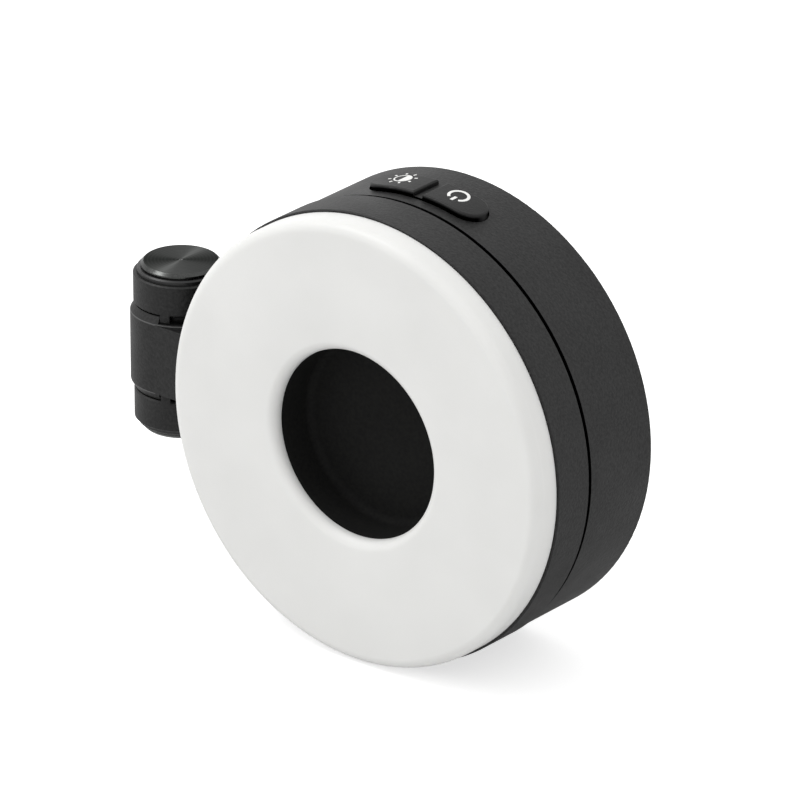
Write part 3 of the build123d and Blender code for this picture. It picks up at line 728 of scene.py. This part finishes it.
def flat_bar(mesh_data, centre, angle, start, end, width, steps=4):
    """A flat bar that points away from the centre, between two distances from it."""
    place = Matrix.Translation(centre) @ Matrix.Rotation(math.radians(angle), 4, "Z")
    shape = Matrix.Translation(((start + end) / 2, 0, 0)) @ Matrix.Diagonal((end - start, width, 1, 1))
    bmesh.ops.create_grid(mesh_data, x_segments=steps, y_segments=1, size=0.5, matrix=place @ shape)


def wrap_on_key(mesh_data):
    """Lays a flat print on the key's curved top and gives it the ink's thickness."""
    long_edges = [edge for edge in mesh_data.edges if edge.calc_length() > print_longest_edge]
    bmesh.ops.subdivide_edges(mesh_data, edges=long_edges, cuts=1)
    for vert in mesh_data.verts:
        vert.co.z = math.sqrt(key_top_radius ** 2 - vert.co.x ** 2) + print_lift
    bmesh.ops.recalc_face_normals(mesh_data, faces=mesh_data.faces)
    if sum(face.normal.z for face in mesh_data.faces) < 0:
        bmesh.ops.reverse_faces(mesh_data, faces=mesh_data.faces)
    grown = bmesh.ops.extrude_face_region(mesh_data, geom=mesh_data.faces[:])["geom"]
    risen = [item for item in grown if isinstance(item, bmesh.types.BMVert)]
    bmesh.ops.translate(mesh_data, verts=risen, vec=(0, 0, print_thickness))


def make_print(name, mesh_data, body):
    """A print has its key's slot and its own ink."""
    wrap_on_key(mesh_data)
    piece = finish_piece(name, mesh_data, "key_rubber", body)
    piece.data.materials[0] = symbol_ink


def make_power_symbol():
    """A broken ring with a bar in its gap, read from the back of the light."""
    across = 5.1 * MM
    centre = Vector((across, print_y, 0))
    ring_outer = 1.62 * MM
    line = 0.44 * MM
    bar_start = 0.55 * MM
    bar_end = 1.75 * MM
    gap_degrees = 70
    mesh_data = bmesh.new()
    arc_strip(
        mesh_data, centre, ring_outer - line, ring_outer,
        start=-90 + gap_degrees / 2, sweep=360 - gap_degrees, steps=40,
    )
    flat_bar(mesh_data, centre, -90, bar_start, bar_end, line)
    make_print("power_symbol", mesh_data, "power_key")


def make_brightness_symbol():
    """A half-filled disc with eight rays. A hairline parts the fill from the ring round it, which keeps
    the flat shading of both."""
    across = -4.85 * MM
    centre = Vector((across, print_y, 0))
    disc = 1.35 * MM
    line = 0.22 * MM
    hairline = 0.01 * MM
    ray_start = 1.68 * MM
    ray_end = 2.14 * MM
    ray_width = 0.3 * MM
    ray_count = 8
    mesh_data = bmesh.new()
    arc_strip(mesh_data, centre, disc - line, disc, start=0, sweep=360, steps=32)
    arc_strip(mesh_data, centre, axis_gap, disc - line - hairline, start=-90, sweep=180, steps=16)
    for ray in range(ray_count):
        angle = 360 / ray_count * (ray + 0.5)
        flat_bar(mesh_data, centre, angle, ray_start, ray_end, ray_width, steps=1)
    make_print("brightness_symbol", mesh_data, "brightness_key")


make_power_symbol()
make_brightness_symbol()


# Materials of the solids

for node_name, node_object in nodes.items():
    node_object.data.materials.clear()
    node_object.data.materials.append(materials[record_slots[node_name]])


# Stage, camera and light

def make_stage():
    """A floor of pale paper. To the camera alone it also glows, so that it runs into the white backdrop
    and keeps the object's shadow."""
    reach = 3.0
    camera_glow = 0.62
    mesh_data = bmesh.new()
    bmesh.ops.create_grid(mesh_data, x_segments=1, y_segments=1, size=reach)
    bmesh.ops.translate(mesh_data, verts=mesh_data.verts, vec=(0, 0, cad_low.z))
    mesh = bpy.data.meshes.new("floor")
    mesh_data.to_mesh(mesh)
    mesh_data.free()
    floor = bpy.data.objects.new("floor", mesh)
    bpy.context.scene.collection.objects.link(floor)
    material = new_material("pale_paper_floor")
    path = add_node(material, "ShaderNodeLightPath")
    paper = add_node(material, "ShaderNodeBsdfDiffuse", inputs={"Color": colour("dedede")})
    glow = add_node(
        material, "ShaderNodeEmission", inputs={"Color": colour("ffffff"), "Strength": camera_glow},
    )
    seen = add_node(
        material, "ShaderNodeAddShader", links={0: paper.outputs["BSDF"], 1: glow.outputs["Emission"]},
    )
    mix = add_node(
        material, "ShaderNodeMixShader",
        links={"Fac": path.outputs["Is Camera Ray"], 1: paper.outputs["BSDF"], 2: seen.outputs["Shader"]},
    )
    add_node(material, "ShaderNodeOutputMaterial", links={"Surface": mix.outputs["Shader"]})
    mesh.materials.append(material)


def make_world():
    """White to the camera and in reflections, and a plain soft fill for the rest."""
    fill_strength = 0.92
    white_strength = 1.0
    world = bpy.data.worlds.new("studio")
    bpy.context.scene.world = world
    world.use_nodes = True
    world.node_tree.nodes.clear()
    path = add_node(world, "ShaderNodeLightPath")
    sharp = add_node(
        world, "ShaderNodeMath", {"operation": "MAXIMUM"},
        links={0: path.outputs["Is Glossy Ray"], 1: path.outputs["Is Transmission Ray"]},
    )
    seen = add_node(
        world, "ShaderNodeMath", {"operation": "MAXIMUM"},
        links={0: sharp.outputs["Value"], 1: path.outputs["Is Camera Ray"]},
    )
    fill = add_node(
        world, "ShaderNodeBackground", inputs={"Color": colour("ffffff"), "Strength": fill_strength},
    )
    white = add_node(
        world, "ShaderNodeBackground", inputs={"Color": colour("ffffff"), "Strength": white_strength},
    )
    mix = add_node(
        world, "ShaderNodeMixShader",
        links={"Fac": seen.outputs["Value"], 1: fill.outputs["Background"], 2: white.outputs["Background"]},
    )
    add_node(world, "ShaderNodeOutputWorld", links={"Surface": mix.outputs["Shader"]})


def make_lamp(name, place, watts):
    """A square softbox that faces the middle of the housing."""
    size = 0.3
    target = Vector((0, -0.012, 0))
    lamp_data = bpy.data.lights.new(name, "AREA")
    lamp_data.shape = "SQUARE"
    lamp_data.size = size
    lamp_data.energy = watts
    lamp = bpy.data.objects.new(name, lamp_data)
    bpy.context.scene.collection.objects.link(lamp)
    lamp.location = place
    lamp.rotation_mode = "QUATERNION"
    lamp.rotation_quaternion = (target - Vector(place)).to_track_quat("-Z", "Y")


def make_camera():
    """The photograph's view, fitted to the outline, the housing's circles, the keys and the hinge. Its
    distance, scale and shift are in radii of the housing."""
    azimuth = math.radians(39.11)
    elevation = math.radians(23.74)
    distance = 39.0
    shift_right = 0.1211
    shift_up = 0.1577
    pixels_per_radius = 237.34
    picture_width = 800
    sensor = 36.0
    back = Vector((
        math.sin(azimuth) * math.cos(elevation), -math.cos(azimuth) * math.cos(elevation),
        math.sin(elevation),
    ))
    right = Vector((math.cos(azimuth), math.sin(azimuth), 0))
    up = back.cross(right)
    camera_data = bpy.data.cameras.new("camera")
    camera_data.sensor_width = sensor
    camera_data.lens = pixels_per_radius * distance * sensor / picture_width
    camera_data.clip_start = 0.1
    camera_data.clip_end = 20.0
    camera = bpy.data.objects.new("camera", camera_data)
    bpy.context.scene.collection.objects.link(camera)
    aim = Vector((0, rim_y, 0))
    camera.location = aim + shell_radius * (back * distance + right * shift_right + up * shift_up)
    camera.rotation_mode = "QUATERNION"
    camera.rotation_quaternion = Matrix((right, up, back)).transposed().to_quaternion()
    bpy.context.scene.camera = camera


make_stage()
make_world()
make_camera()
make_lamp("high_left_softbox", (-0.5, -0.35, 0.8), watts=3.2)
make_lamp("left_rim_softbox", (-0.62, 0.45, 0.22), watts=0.15)
bpy.context.scene.view_settings.view_transform = "Standard"
